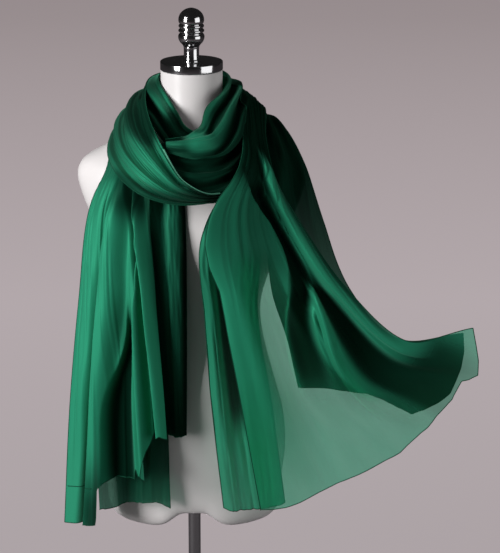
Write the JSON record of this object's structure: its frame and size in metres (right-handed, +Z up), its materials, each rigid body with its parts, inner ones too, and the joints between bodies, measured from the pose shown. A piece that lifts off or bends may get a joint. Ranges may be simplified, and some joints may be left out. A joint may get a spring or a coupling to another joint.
{
  "type": "chiffon scarf on a dress form with stand",
  "caption": "Long chiffon scarf wound round the neck of a limbless dress form, its tails hanging down the front and flared to the right, on a pole with a round base.",
  "frame": {"origin": "middle of the underside of the round base, on the pole's axis", "axes": "+Z up along the pole, +X to the right seen from the front, +Y to the back"},
  "size_m": [0.6684, 0.3487, 1.1418],
  "materials": {
    "chiffon": "emerald green, sheer, softly crinkled, fine plain weave",
    "form_skin": "white, satin gloss",
    "chrome": "polished"
  },
  "bodies": {
    "root": {"dress_form": "form_skin", "base_plate": "chrome", "pole": "chrome", "neck_plate": "chrome", "finial": "chrome", "scarf_nape_under": "chiffon", "scarf_left_tail_back": "chiffon", "scarf_left_tail_inner": "chiffon", "scarf_left_tail_front": "chiffon", "scarf_under_band": "chiffon", "scarf_collar": "chiffon", "scarf_cowl": "chiffon", "scarf_front_band": "chiffon", "scarf_right_tail_inner": "chiffon", "scarf_right_tail_back": "chiffon", "scarf_right_tail_front": "chiffon"}
  },
  "joints": []
}
